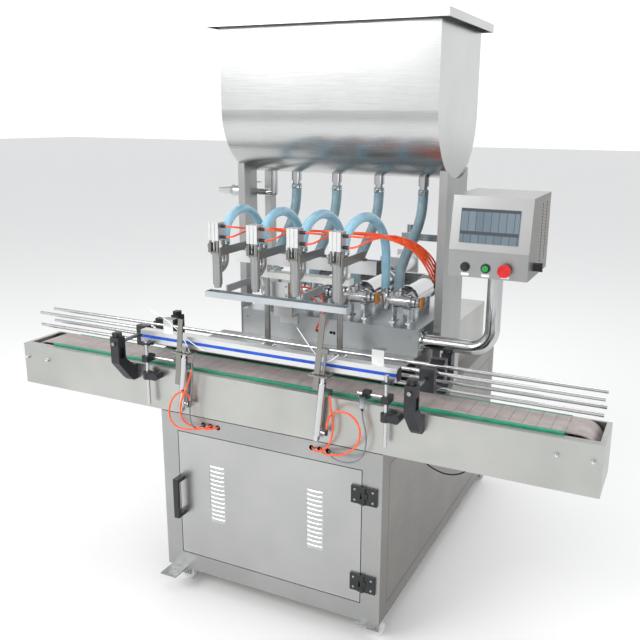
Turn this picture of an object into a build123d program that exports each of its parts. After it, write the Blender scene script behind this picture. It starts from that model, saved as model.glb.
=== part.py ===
from build123d import *

import math
import os

# Four-head piston liquid filler with a slat-chain conveyor, in millimetres.
# Working frame: X runs along the conveyor, Y = 0 is the conveyor's front face, Z = 0 is the floor.
# Every shape is moved by TO_ROW when it is written, so that the origin is on the floor
# under the centre of the machine's bounding box.

# ---- driving dimensions -------------------------------------------------------------------------
SHEET = 3.0                      # stainless sheet thickness
HALF_CONVEYOR = 1000.0           # half the conveyor length
CONVEYOR_DEPTH = 175.0
CONVEYOR_TOP = 790.0
CONVEYOR_BOTTOM = 643.0
CHAIN_PITCH = 38.1
CHAIN_Y = (42.0, 156.3)
CHAIN_TOP = 795.0
SPROCKET_X = 930.0
CHAIN_RADIUS = 54.0
SHAFT_Z = CHAIN_TOP - CHAIN_RADIUS

CAB_X = 398.0                    # half the cabinet width
CAB_Y = (3.0, 1292.0)
CAB_Z = (66.0, 639.0)
DOOR_X = (-335.0, 335.0)
DOOR_Z = (128.0, 578.0)

DECK_TOP = 820.0
BASE_TOP = 912.0
GROUP_X = 20.0                   # centre of the hopper and valve group
HOPPER_Y = 577.0
HOPPER_R = 215.0
HOPPER_AXIS_Z = 1609.0
HOPPER_TOP = 1897.0
HOPPER_WALL = 2.5
HOPPER_HALF = 386.0
RIM_OVERHANG = 33.0
RIM_HEIGHT = 26.0

UNIT_PITCH = 162.0
UNIT_X = [23.0 + UNIT_PITCH * (i - 1.5) for i in range(4)]
VALVE_Y = 474.0
VALVE_Z = 985.0
CYLINDER_Y = (524.0, 746.0)
CYLINDER_R = 36.0
BORE_R = 32.0
CROSSHEAD_Y = 800.0
STROKE = 130.0

HEAD_PITCH = 141.0
HEAD_X = [-11.0 + HEAD_PITCH * (i - 1.5) for i in range(4)]
HEAD_Y = 99.0
TIP_Z = 1056.0
POST_X = (-146.0, 127.0)
POST_Y = 278.0
POST_R = 10.0
FITTING_Z = (1220.0, 1254.0)

RAIL_R = 6.0
RAIL_Z = (843.0, 887.0)
FRONT_RAIL_Y = 78.0
BACK_RAIL_Y = 142.0
BRACKET_X = (-500.0, 506.0)

BOX_X = (482.0, 720.0)
BOX_Y = (285.0, 565.0)
BOX_Z = (1130.0, 1368.0)
BOX_WALL = 2.0
ARM_R = 24.0
ARM_Y = 435.0
ARM_Z = 866.0
ARM_X = 592.0

CASTER_X = (-358.0, 358.0)
CASTER_Y = (50.0, 1245.0)
WHEEL_R = 25.0
TRAIL = 15.0
FIT = 0.05                       # radial clearance of a running fit
GAP = 0.4                        # clearance between parts that only pass each other

TO_ROW = Pos(0, -607.5, 0)


# ---- helpers ------------------------------------------------------------------------------------
def block(x, y, z):
    """A box between two limits on each axis."""
    size = (x[1] - x[0], y[1] - y[0], z[1] - z[0])
    return Pos(sum(x) / 2, sum(y) / 2, sum(z) / 2) * Box(*size)


def round_bar(start, end, r):
    """A cylinder from one point to another."""
    a = Vector(*start)
    b = Vector(*end)
    plane = Plane(origin=a, z_dir=b - a)
    return extrude(plane * Circle(r), (b - a).length)


def pipe(start, end, r, bore):
    """A straight tube from one point to another."""
    a = Vector(*start)
    b = Vector(*end)
    plane = Plane(origin=a, z_dir=b - a)
    return extrude(plane * (Circle(r) - Circle(bore)), (b - a).length)


def corner_radii(points, share=0.45):
    """The radius of each corner: a share of the shorter run over the tangent of half the turn."""
    radii = []
    for a, b, c in zip(points, points[1:], points[2:]):
        u = Vector(*b) - Vector(*a)
        v = Vector(*c) - Vector(*b)
        turn = math.radians(u.get_angle(v))
        radii.append(share * min(u.length, v.length) / math.tan(turn / 2))
    return radii


def hose(name, points, r, bore=0.0):
    """A tube along straight runs joined by tangent arcs; prints its tightest bend and length."""
    radii = corner_radii(points)
    path = FilletPolyline(*points, radius=radii)
    start = Plane(origin=path @ 0, z_dir=path % 0)
    section = Circle(r) - Circle(bore) if bore else Circle(r)
    solid = sweep(start * section, path)
    area = math.pi * (r * r - bore * bore)
    print(f"{name}: tightest radius {min(radii):.1f}, length {path.length:.1f},",
          f"volume / (section x length) {solid.volume / (area * path.length):.4f}")
    return solid


def save(name, *shapes):
    """Writes one node as a STEP file in the row's frame."""
    solids = [s for shape in shapes for s in shape.solids()]
    whole = solids[0] if len(solids) == 1 else Compound(children=solids)
    export_step(TO_ROW * whole, f"parts/{name}.step")


# ---- cabinet ------------------------------------------------------------------------------------
def cabinet_front():
    y0 = CAB_Y[0]
    plate = block((-CAB_X, CAB_X), (y0, y0 + SHEET), CAB_Z)
    lip = 22.0
    folded = block((DOOR_X[0] - SHEET, DOOR_X[1] + SHEET), (y0 + SHEET, y0 + lip),
                   (DOOR_Z[0] - SHEET, DOOR_Z[1] + SHEET))
    opening = block(DOOR_X, (y0 - 1, y0 + lip + 1), DOOR_Z)
    front = plate + folded - opening
    for x in HOLE_X[0] + HOLE_X[1]:
        front -= round_bar((x, y0 - 1, 616), (x, y0 + SHEET + 1, 616), 8.5)
    return front


def side_panel(side):
    """A side sheet with the seam of its inset service panel pressed in from outside."""
    outer = CAB_X * side
    inner = (CAB_X - SHEET) * side
    sheet = block(sorted((inner, outer)), (CAB_Y[0] + SHEET, CAB_Y[1] - SHEET), CAB_Z)
    seam = sorted((outer - 1.0 * side, outer + 1.0 * side))
    ring = block(seam, (62, 1232), (112, 588)) - block(seam, (64, 1230), (114, 586))
    return sheet - ring


def cabinet_back():
    back = block((-CAB_X, CAB_X), (CAB_Y[1] - SHEET, CAB_Y[1]), CAB_Z)
    return back - round_bar((-330, 1280, 150), (-330, 1300, 150), 10.0)


def back_service_panel():
    panel = block((-280, 280), (CAB_Y[1], CAB_Y[1] + 2), (130, 570))
    for column in (-160, 160):
        for row in range(9):
            z = 300 + 20 * row
            panel -= block((column - 35, column + 35), (CAB_Y[1] - 1, CAB_Y[1] + 3), (z, z + 7))
    return panel


def skeleton():
    """Square-tube uprights and bottom rails inside the sheets."""
    tube = 30.0
    inside = (CAB_X - SHEET) - GAP
    front = CAB_Y[0] + SHEET + GAP
    back = CAB_Y[1] - SHEET - GAP
    low = CAB_Z[0] + SHEET + GAP
    high = CAB_Z[1] - SHEET - GAP
    bars = []
    for x in ((-inside, -inside + tube), (inside - tube, inside)):
        for y in ((front, front + tube), (back - tube, back)):
            bars.append(block(x, y, (low, high)))
        bars.append(block(x, (front + tube, back - tube), (low, low + tube)))
        bars.append(block(x, (front + tube, back - tube), (high - tube, high)))
    return bars[0].fuse(*bars[1:])


def make_cabinet():
    inner = CAB_X - SHEET
    depth = (CAB_Y[0] + SHEET, CAB_Y[1] - SHEET)
    save("cabinet_front_frame", cabinet_front())
    gland = round_bar((-330, 1284, 150), (-330, 1310, 150), 9.6)
    gland += round_bar((-330, CAB_Y[1], 150), (-330, 1302, 150), 15.0)
    gland -= round_bar((-330, 1280, 150), (-330, 1312, 150), 5.0)
    save("cabinet_panels", side_panel(-1), side_panel(1), cabinet_back(), back_service_panel(), gland)
    floor = block((-inner, inner), depth, (CAB_Z[0], CAB_Z[0] + SHEET))
    top = block((-inner, inner), depth, (CAB_Z[1] - SHEET, CAB_Z[1]))
    save("cabinet_chassis", floor, top, skeleton())


def cabinet_door():
    gap = 2.5
    x = (DOOR_X[0] + gap, DOOR_X[1] - gap)
    z = (DOOR_Z[0] + gap, DOOR_Z[1] - gap)
    skin = block(x, (CAB_Y[0], CAB_Y[0] + 1.5), z)
    pan = block(x, (CAB_Y[0] + 1.5, CAB_Y[0] + 18), z)
    pan -= block((x[0] + 1.5, x[1] - 1.5), (CAB_Y[0], CAB_Y[0] + 20), (z[0] + 1.5, z[1] - 1.5))
    door = skin + pan
    for left in (-211, 149):
        for row in range(13):
            slot_z = 278 + 15.6 * row
            door -= block((left, left + 56), (0, CAB_Y[0] + 2), (slot_z, slot_z + 6.5))
    return door


def door_handle():
    handle = block((-333, -314), (-38, CAB_Y[0]), (277, 418))
    return handle - block((-340, -300), (-27, CAB_Y[0] + 1), (291, 404))


HINGE_Y = -3.5
HINGE_X = 343.0
HINGE_ROWS = (202.0, 498.0)


def make_hinges():
    """Each hinge: a fixed leaf with the middle knuckle and its pin, a door leaf with two outer ones."""
    fixed = []
    moving = []
    knuckle = 6.5
    for z in HINGE_ROWS:
        leaf = block((HINGE_X + 7.2, HINGE_X + 42), (-4, CAB_Y[0]), (z - 28, z + 28))
        leaf += round_bar((HINGE_X, HINGE_Y, z - 9.6), (HINGE_X, HINGE_Y, z + 9.6), knuckle)
        leaf += block((HINGE_X, HINGE_X + 12), (-7, CAB_Y[0] - GAP), (z - 9.6, z + 9.6))
        leaf += round_bar((HINGE_X, HINGE_Y, z - 28), (HINGE_X, HINGE_Y, z + 28), 3.0)
        fixed.append(leaf)
        swing = block((HINGE_X - 42, HINGE_X - 12), (-4, CAB_Y[0]), (z - 28, z + 28))
        for low, high in ((z - 28, z - 10), (z + 10, z + 28)):
            swing += round_bar((HINGE_X, HINGE_Y, low), (HINGE_X, HINGE_Y, high), knuckle)
            swing += block((HINGE_X - 14, HINGE_X), (-7, 0), (low, high))
        swing -= round_bar((HINGE_X, HINGE_Y, z - 30), (HINGE_X, HINGE_Y, z + 30), 3.0 + FIT)
        moving.append(swing)
    save("door_hinge_leaves", *fixed)
    save("cabinet_door", cabinet_door(), door_handle(), *moving)


def caster_fork(x, y):
    """Two cheeks under a crown, with the wheel's axle between them."""
    crown = round_bar((x, y, 56), (x, y, 59.6), 19)
    cheeks = block((x - 14, x + TRAIL + 12), (y - 16, y - 13), (18, 57))
    cheeks += block((x - 14, x + TRAIL + 12), (y + 13, y + 16), (18, 57))
    cheeks += block((x - 14, x + 16), (y - 16, y + 16), (53.5, 57))
    axle = round_bar((x + TRAIL, y - 18, WHEEL_R), (x + TRAIL, y + 18, WHEEL_R), 4)
    return crown + cheeks + axle


def caster_wheel(x, y):
    tread = round_bar((x + TRAIL, y - 11, WHEEL_R), (x + TRAIL, y + 11, WHEEL_R), WHEEL_R)
    return tread - round_bar((x + TRAIL, y - 12, WHEEL_R), (x + TRAIL, y + 12, WHEEL_R), 4 + FIT)


def make_casters():
    """Swivel casters in front; the rear pair have their forks fixed to their plates."""
    lug = block((-385, -323), (-62, 16), (62, 66)) - round_bar((-354, -32, 60), (-354, -32, 68), 6)
    plates = [lug, block((323, 385), (-12, 16), (62, 66))]
    for y in CASTER_Y:
        for x in CASTER_X:
            plate = block((x - 30, x + 30), (y - 30, y + 30), (62, 66))
            plate += round_bar((x, y, 60), (x, y, 62), 20)
            end = ("front" if y < 600 else "rear") + ("_left" if x < 0 else "_right")
            save(f"{end}_wheel", caster_wheel(x, y))
            if y < 600:
                save(f"{end}_fork", caster_fork(x, y))
            else:
                plate += round_bar((x, y, 59.5), (x, y, 60), 19) + caster_fork(x, y)
            plates.append(plate)
    save("base_plates", *plates)


# ---- conveyor -----------------------------------------------------------------------------------
def side_channel(y_web, y_top, y_low):
    x = (-HALF_CONVEYOR + 2.5, HALF_CONVEYOR - 2.5)
    web = block(x, y_web, (CONVEYOR_BOTTOM, CONVEYOR_TOP))
    top = block(x, y_top, (CONVEYOR_TOP - 2.5, CONVEYOR_TOP))
    low = block(x, y_low, (CONVEYOR_BOTTOM, CONVEYOR_BOTTOM + 2.5))
    return web + top + low


def end_plate(side):
    x = sorted((side * HALF_CONVEYOR, side * (HALF_CONVEYOR - 2.5)))
    lip = sorted((side * HALF_CONVEYOR, side * (HALF_CONVEYOR - 14)))
    plate = block(x, (0, CONVEYOR_DEPTH), (CONVEYOR_BOTTOM, CONVEYOR_TOP))
    return plate + block(lip, (26, 167), (CONVEYOR_TOP - 2.5, CONVEYOR_TOP))


def slat_chain():
    """The endless chain: a band round both sprockets with a seam cut at each link."""
    ring = SlotCenterToCenter(2 * SPROCKET_X, 2 * CHAIN_RADIUS)
    ring -= SlotCenterToCenter(2 * SPROCKET_X, 2 * CHAIN_RADIUS - 9.6)
    plane = Plane(origin=(0, CHAIN_Y[0], SHAFT_Z), x_dir=(1, 0, 0), z_dir=(0, 1, 0))
    band = extrude(plane * ring, CHAIN_Y[1] - CHAIN_Y[0])
    links = int(SPROCKET_X // CHAIN_PITCH)
    seam = Box(1.2, CHAIN_Y[1] - CHAIN_Y[0] + 2, 2.4)
    middle = sum(CHAIN_Y) / 2
    cuts = [Pos((i + 0.5) * CHAIN_PITCH, middle, CHAIN_TOP) * seam for i in range(-links, links)]
    return band.cut(*cuts)


def sprocket_shaft(x):
    shaft = round_bar((x, 5, SHAFT_Z), (x, 170, SHAFT_Z), 10)
    for y in (60, 122):
        shaft += round_bar((x, y, SHAFT_Z), (x, y + 16, SHAFT_Z), CHAIN_RADIUS - 9.6 / 2 - 5.4)
    return shaft


def bearing(x, y):
    body = block((x - 30, x + 30), y, (SHAFT_Z - 22, SHAFT_Z + 22))
    return body - round_bar((x, y[0] - 1, SHAFT_Z), (x, y[1] + 1, SHAFT_Z), 10 + FIT)


def cap_nut(x, y, z, out):
    """A domed nut on the outside of a side channel; out is -1 in front and 1 behind."""
    nut = extrude(Plane((x, y, z), z_dir=(0, out, 0)) * RegularPolygon(8, 6), 6)
    return nut + Pos(x, y + out * 6, z) * Sphere(5.6)


def make_conveyor():
    depth = CONVEYOR_DEPTH
    motor = block((600, 690), (depth + 0.4, 262), (660, 742))
    motor += round_bar((555, 222, 701), (600, 222, 701), 34)
    pads = [block((x, x + 60), (10, 165), (CAB_Z[1], CONVEYOR_BOTTOM)) for x in (-380, -30, 320)]
    save("conveyor_frame", side_channel((0, 2.5), (0, 26), (0, 20)),
         side_channel((depth - 2.5, depth), (167, depth), (155, depth)),
         end_plate(-1), end_plate(1), motor, *pads)
    bed = block((-870, 870), (44, 154), (783, 784.9))
    bars = [block((x, x + 30), (2.6, depth - 2.6), (771, 783)) for x in (-860, -430, -15, 430, 830)]
    bearings = [bearing(x, y) for x in (-SPROCKET_X, SPROCKET_X) for y in ((2.6, 24), (151, 172.4))]
    strips = [block((-885, 895), (28, 40), (784, 795)), block((-885, 895), (158, 166), (784, 795))]
    save("conveyor_bed", bed.fuse(*bars), *bearings)
    save("edge_strips", *strips)
    save("slat_chain", slat_chain())
    save("drive_shaft", sprocket_shaft(SPROCKET_X))
    save("idler_shaft", sprocket_shaft(-SPROCKET_X))
    nuts = []
    for x in (-983, -889, 884, 976):
        nuts += [cap_nut(x, 0, 741, -1), cap_nut(x, depth, 741, 1)]
    save("fasteners", *nuts)


def rail_bracket(x, side):
    """Moulded dog-leg arm: a foot on the side channel, rising outwards to a boss for the spindle."""
    outline = [(0, 738), (-22, 738), (-38, 752), (-78, 800), (-88, 812), (-88, 898), (-54, 898),
               (-54, 822), (-28, 800), (-16, 790), (0, 790)]
    y_face = 0 if side < 0 else CONVEYOR_DEPTH
    points = [(y_face - side * y, z) for y, z in outline]
    face = Plane(origin=(x - 16, 0, 0), x_dir=(0, 1, 0), z_dir=(1, 0, 0))
    arm = extrude(face * make_face(Polyline(*points, close=True)), 32)
    for pocket in ((x - 17, x - 4), (x + 4, x + 17)):
        ys = sorted((y_face + side * 60, y_face + side * 80))
        arm -= block(pocket, ys, (826, 862))
    reach = sorted((y_face + side * 40, y_face + side * 100))
    return arm - round_bar((x, reach[0], 878), (x, reach[1], 878), 6 + FIT)


def rail_spindle(x, side):
    """The horizontal spindle that carries the rail clamp, with the clamp head on its inner end."""
    rail_y = FRONT_RAIL_Y if side < 0 else BACK_RAIL_Y
    y_face = 0 if side < 0 else CONVEYOR_DEPTH
    outer = y_face + side * 95
    inner = rail_y + side * 12
    spindle = round_bar((x, outer, 878), (x, inner, 878), 6)
    ys = sorted((rail_y + side * 7, rail_y + side * 30))
    head = block((x - 22, x + 22), ys, (836, 905))
    jaws = sorted((rail_y + side * 7, rail_y - side * 4))
    for z in RAIL_Z:
        head += block((x - 22, x + 22), jaws, (z - 9.5, z + 9.5))
    for z in RAIL_Z:
        head -= round_bar((x - 30, rail_y, z), (x + 30, rail_y, z), RAIL_R + FIT)
    return spindle + head


def lobed_knob(x, y, z):
    """A five-lobed clamping knob on a vertical screw, standing on the bracket's boss."""
    knob = round_bar((x, y, z), (x, y, z + 14), 11)
    for k in range(5):
        a = math.radians(72 * k)
        knob += round_bar((x + 11 * math.cos(a), y + 11 * math.sin(a), z + 1),
                          (x + 11 * math.cos(a), y + 11 * math.sin(a), z + 13), 5.5)
    return knob


def make_rails():
    x = (-984, 984)
    sides = ((FRONT_RAIL_Y, -1), (BACK_RAIL_Y, 1))
    rails = [round_bar((x[0], y, z), (x[1], y, z), RAIL_R) for y, _ in sides for z in RAIL_Z]
    save("guide_rails", *rails)
    save("rail_brackets", *[rail_bracket(b, side) for b in BRACKET_X for _, side in sides])
    clamps = [rail_spindle(b, side) for b in BRACKET_X for _, side in sides]
    for b in BRACKET_X:
        clamps += [lobed_knob(b, -71, 898.4), lobed_knob(b, CONVEYOR_DEPTH + 71, 898.4)]
    save("rail_clamps", *clamps)


# ---- bottle stops, photo eye and their carrier --------------------------------------------------
CARRIER_Y = (8.0, 38.0)
CARRIER_Z = (866.0, 906.0)
STOP_Y = -20.0
STOP_LEAN = 6.0                  # degrees; both gates lean towards the outfeed
STOP_TRAVEL = 100.0
LEFT_STOP = (-286.0, 757.0)      # middle of each gate's air cylinder
RIGHT_STOP = (204.0, 751.0)
HOLE_X = ((-230, -202, -174), (165, 193, 221))


def leaned(stop, shape):
    """Places a shape modelled about the air cylinder's middle at its stop, with its lean."""
    return Pos(stop[0], STOP_Y, stop[1]) * Rot(0, STOP_LEAN, 0) * shape


def cross_clamp(x, z):
    """Two split collars: one on the upright rod, one on a stud in the conveyor's side."""
    clamp = round_bar((x, -24, z - 12), (x, -24, z + 12), 15)
    clamp += block((x, x + 34), (-36, -14), (z - 11, z + 11))
    clamp += round_bar((x + 34, -36, z), (x + 34, -0.4, z), 12)
    return clamp - round_bar((x, -24, z - 20), (x, -24, z + 20), 6)


def small_clamp(x, z):
    body = block((x - 11, x + 11), (-36, 6), (z - 10, z + 10))
    body -= round_bar((x, -24, z - 20), (x, -24, z + 20), 6)
    return body - round_bar((x - 30, -4, z), (x + 30, -4, z), 5)


def gate_shelf(stop):
    """The ledge under the carrier that holds the head of a gate's air cylinder."""
    x = stop[0] + 10
    shelf = block((x - 44, x + 20), (-32, 36), (857, 861)) + block((x - 44, x + 20), (10, 36), (861, 866))
    shelf -= block((x - 41, x - 9), (-27, -13), (850, 870))
    return shelf - round_bar((x, STOP_Y, 850), (x, STOP_Y, 870), 10)


def make_carrier():
    profile = block((-470, 430), CARRIER_Y, CARRIER_Z)
    profile -= block((-480, 440), (CARRIER_Y[0] - 1, CARRIER_Y[0] + 5), (881, 891))
    profile += block((430, 434), CARRIER_Y, CARRIER_Z)
    plates = [gate_shelf(LEFT_STOP), gate_shelf(RIGHT_STOP)]
    for x in (-400, 342):
        plate = block((x, x + 38), (CARRIER_Y[1], CARRIER_Y[1] + 3), (872, 944))
        plates.append(plate + block((x, x + 38), (CARRIER_Y[1], 64), (941, 944)))
    save("stop_carrier", profile, *plates)
    rods = [round_bar((x, -24, z), (x, -24, z + 214), 6) for x, z in ((-424, 664), (414, 681))]
    rods += [round_bar(a, b, 5) for a, b in (((-438, -4, 822), (-330, -4, 822)),
                                             ((318, -4, 822), (430, -4, 822)))]
    uprights = [cross_clamp(-424, 765), cross_clamp(414, 770)]
    uprights += [small_clamp(-424, 822), small_clamp(414, 822)]
    links = [block((x - 12, x + 12), (-32, CARRIER_Y[0]), (870, 875)) for x in (-424, 414)]
    links = [k - round_bar((k.center().X, -24, 860), (k.center().X, -24, 880), 6) for k in links]
    save("rod_clamps", *rods, *uprights, *links)


def gate_barrel():
    barrel = round_bar((0, 0, -78), (0, 0, 88), 11) + round_bar((0, 0, 88), (0, 0, 106), 8)
    barrel += block((-6, 6), (-9, 9), (-96, -78))
    barrel -= round_bar((0, 0, 60), (0, 0, 110), 4 + FIT)
    barrel -= round_bar((0, 0, -70), (0, 0, 80), 8)
    return barrel - round_bar((-10, 0, -88), (10, 0, -88), 3.5)


def gate_fitting(z, mouth):
    """A push-in elbow on the cylinder's right side; mouth is -1 facing down and 1 facing up."""
    elbow = round_bar((11.2, 0, z), (28, 0, z), 5)
    low, high = sorted((z - 5 * mouth, z + 12 * mouth))
    return elbow + round_bar((28, 0, low), (28, 0, high), 5.5)


def gate(lift):
    """The flat gate bar, tied by a lug to the rod that raises it."""
    bar = block((-30, -12), (-2.5, 2.5), (-9 + lift, 211 + lift * 1.2))
    rod = round_bar((0, 0, -62 + lift), (0, 0, 120 + lift), 4)
    rod += round_bar((0, 0, -62 + lift), (0, 0, -54 + lift), 7.7)
    lug = block((-14, 8), (-6, 6), (110 + lift, 124 + lift))
    return bar + rod + lug


def make_stops():
    save("left_stop_gate", leaned(LEFT_STOP, gate(0.0)))
    save("right_stop_gate", leaned(RIGHT_STOP, gate(70.0)))
    barrels = []
    for stop in (LEFT_STOP, RIGHT_STOP):
        barrels.append(leaned(stop, gate_barrel() + gate_fitting(-66, 1) + gate_fitting(70, -1)))
    save("stop_cylinders", *barrels)
    eye = block((336, 358), (-14, 8), (811, 833)) - round_bar((330, -4, 822), (362, -4, 822), 5 + FIT)
    eye += round_bar((341, -22, 786), (341, -22, 822), 9) + block((336, 346), (-22, -10), (812, 822))
    save("photo_eye", eye + round_bar((341, -22, 776), (341, -22, 786), 4))


LINE_R = 3.0
AIR_LINES = {
    "left stop line, upper": [(-252.2, -20, 811.4), (-254.3, -20, 791), (-266, -32, 748),
                              (-284, -38, 704), (-291, -38, 662), (-282, -32, 628), (-248, -18, 612),
                              (-190, -16, 613), (-174, 8, 616)],
    "left stop line, lower": [(-263.7, -20, 701), (-261.6, -20, 721), (-281, -38, 738),
                              (-308, -41, 718), (-330, -35, 686), (-342, -30, 650), (-334, -28, 616),
                              (-304, -25, 600), (-262, -21, 602), (-218, -15, 611), (-202, 8, 616)],
    "right stop line, upper": [(237.8, -20, 805.4), (235.7, -20, 785), (248, -24, 738),
                               (251, -27, 696), (242, -25, 658), (222, -24, 630), (181, -15, 612),
                               (165, 8, 616)],
    "right stop line, lower": [(226.3, -20, 695), (228.4, -20, 715), (240, -30, 748),
                               (270, -35, 768), (306, -35, 766), (334, -34, 742), (342, -32, 706),
                               (330, -30, 668), (300, -26, 638), (262, -23, 620), (209, -15, 612),
                               (193, 8, 616)],
    "lift line, lower": [(-79.6, 320, 1008), (-60, 320, 1011), (-36, 319, 1014), (-14, 327, 1008),
                         (10, 339, 988), (23, 350, 952), (12, 361, 906), (-9, 372, 874),
                         (-13, 382, 866), (-13, 396, 864)],
    "lift line, upper": [(-79.6, 330, 1030), (-56, 330, 1030), (-18, 330, 1031), (14, 337, 1020),
                         (32, 346, 990), (32, 354, 944), (18, 366, 900), (3, 376, 875),
                         (0, 384, 868), (0, 398, 866)],
}
CABLE_R = 2.2
CABLES = {
    "gate sensor cable": [(-250, 7.9, 856), (-243, -30, 842), (-238, -34, 800), (-244, -34, 750),
                          (-252, -34, 700), (-256, -33, 654), (-252, -30, 622), (-240, -22, 606),
                          (-230, 8, 616)],
    "photo eye cable": [(341, -22, 775.6), (342, -22, 752), (354, -24, 718), (358, -27, 676),
                        (350, -29, 640), (326, -27, 614), (284, -23, 602), (237, -16, 607),
                        (221, 8, 616)],
    "frame cable": [(398.4, 150, 603), (426, 150, 603), (464, 154, 578), (500, 155, 554),
                    (545, 152, 544), (590, 150, 555), (624, 150, 587), (634, 150, 620),
                    (634, 150, 642.6)],
}


def make_lines():
    tubes = [hose(name, points, LINE_R) for name, points in AIR_LINES.items()]
    tubes += [hose(name, points, CABLE_R) for name, points in CABLES.items()]
    save("machine_lines", *tubes)


# ---- upper housings, hopper and its stand -------------------------------------------------------
def make_housings():
    deck = block((-400, 354), (184, 389), (DECK_TOP - SHEET, DECK_TOP))
    for y in ((184, 186), (387, 389)):
        deck += block((-400, 354), y, (CAB_Z[1], DECK_TOP))
    deck += block((-400, -398), (184, 389), (CAB_Z[1], DECK_TOP))
    for x in POST_X:
        deck -= round_bar((x, POST_Y, DECK_TOP - 10), (x, POST_Y, DECK_TOP + 5), POST_R + 4)
    save("front_deck", deck)
    rear = block((-316, 346), (391, 1288), (CAB_Z[1], DECK_TOP))
    rear -= block((-314, 344), (393, 1286), (CAB_Z[1] - 1, DECK_TOP - 2))
    save("rear_housing", rear)
    base = block((-316, 358), (390, 880), (DECK_TOP, BASE_TOP))
    base -= block((-314, 356), (392, 878), (DECK_TOP - 1, BASE_TOP - 2))
    for x in (-13, 0, 41, 53):
        base -= round_bar((x, 380, 865), (x, 394, 865), 5.5)
    save("valve_base", base)


def hopper_half_profile(grow):
    """U section of the trough: straight sides down to the axis, then a half circle."""
    r = HOPPER_R - grow
    top = HOPPER_TOP + (5 if grow else 0)
    arc = CenterArc((HOPPER_Y, HOPPER_AXIS_Z), r, 180, 180)
    left = Line((HOPPER_Y - r, top), (HOPPER_Y - r, HOPPER_AXIS_Z))
    right = Line((HOPPER_Y + r, HOPPER_AXIS_Z), (HOPPER_Y + r, top))
    lid = Line((HOPPER_Y + r, top), (HOPPER_Y - r, top))
    return make_face([left, arc, right, lid])


def trough(x0, x1, grow):
    plane = Plane(origin=(x0, 0, 0), x_dir=(0, 1, 0), z_dir=(1, 0, 0))
    return extrude(plane * hopper_half_profile(grow), x1 - x0)


OUTLET_X = [x + 28 for x in UNIT_X]
DRAIN = (-440.0, 600.0, 1312.0)


def drain_valve():
    """The ball valve on the drain: round body, hexagon cap, stem boss and tapered outlet."""
    body = round_bar((-412.4, DRAIN[1], DRAIN[2]), (-470, DRAIN[1], DRAIN[2]), 21)
    body += extrude(Plane((-470, DRAIN[1], DRAIN[2]), z_dir=(-1, 0, 0)) * RegularPolygon(21, 6), 14)
    body += Pos(DRAIN[0], DRAIN[1], 1337) * Cylinder(9, 10)
    body += extrude(Plane((-484, DRAIN[1], DRAIN[2]), z_dir=(-1, 0, 0)) * Circle(17), 60, taper=7)
    return body - round_bar((-560, DRAIN[1], DRAIN[2]), (-411, DRAIN[1], DRAIN[2]), 7)


def make_hopper(stubs):
    x0 = GROUP_X - HOPPER_HALF
    x1 = GROUP_X + HOPPER_HALF
    shell = trough(x0, x1, 0)
    rim_x = (x0 - RIM_OVERHANG, x1 + RIM_OVERHANG)
    rim_y = (HOPPER_Y - HOPPER_R - RIM_OVERHANG, HOPPER_Y + HOPPER_R + RIM_OVERHANG)
    rim = block(rim_x, rim_y, (HOPPER_TOP - RIM_HEIGHT, HOPPER_TOP))
    under = block((rim_x[0] + 2, rim_x[1] - 2), (rim_y[0] + 2, rim_y[1] - 2),
                  (HOPPER_TOP - RIM_HEIGHT - 1, HOPPER_TOP - 2))
    shell = shell + (rim - under)
    shell -= trough(x0 + HOPPER_WALL, x1 - HOPPER_WALL, HOPPER_WALL)
    for x in OUTLET_X:
        shell -= round_bar((x, HOPPER_Y, 1370), (x, HOPPER_Y, 1420), 15)
    shell -= round_bar((-300, 600, 1370), (-300, 600, 1420), 11)
    save("hopper", shell)
    saddle = trough(x0, x1, 0)
    for x in OUTLET_X:
        stub = pipe((x, HOPPER_Y, 1364), (x, HOPPER_Y, 1410), 18, 12)
        stubs.append((stub - saddle) + pipe((x, HOPPER_Y, 1330), (x, HOPPER_Y, 1364), 13.7, 12))
    down = pipe((-300, 600, 1336), (-300, 600, 1410), 13, 11) - saddle
    corner = round_bar((-300, 600, 1312), (-300, 600, 1337), 13) + Pos(-300, 600, 1312) * Sphere(13)
    run = round_bar((-300, 600, 1312), (-412, 600, 1312), 13)
    save("product_pipework", *stubs, down + corner + run, drain_valve())


def make_stand():
    """Left: two open posts and a strap. Right: two posts closed by a side cover."""
    low = DECK_TOP
    saddle = trough(-500, 500, 0)
    front = (466, 504)
    rear = (652, 690)
    left = []
    for x, y in (((-372, -345), front), ((-372, -345), rear)):
        left.append(block(x, y, (CAB_Z[1], 1500)) - saddle)
    strap = block((-372, -366), (526, 585), (1180, 1500)) - saddle
    rail = block((-372, -345), (504, 652), (1160, 1186))
    frame = left[0].fuse(left[1], strap, rail)
    right = block((385, 409), front, (CAB_Z[1], 1500)) + block((385, 409), rear, (CAB_Z[1], 1500))
    right += block((409, 412), (466, 690), (CAB_Z[1] + 20, 1500))
    save("hopper_stands", frame, right - saddle)


def make_drain_lever():
    lever = Pos(DRAIN[0], DRAIN[1], 1346) * Cylinder(10, 7.2)
    lever += block((-440, -360), (592, 608), (1347, 1350.5))
    save("drain_lever", lever)


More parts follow.
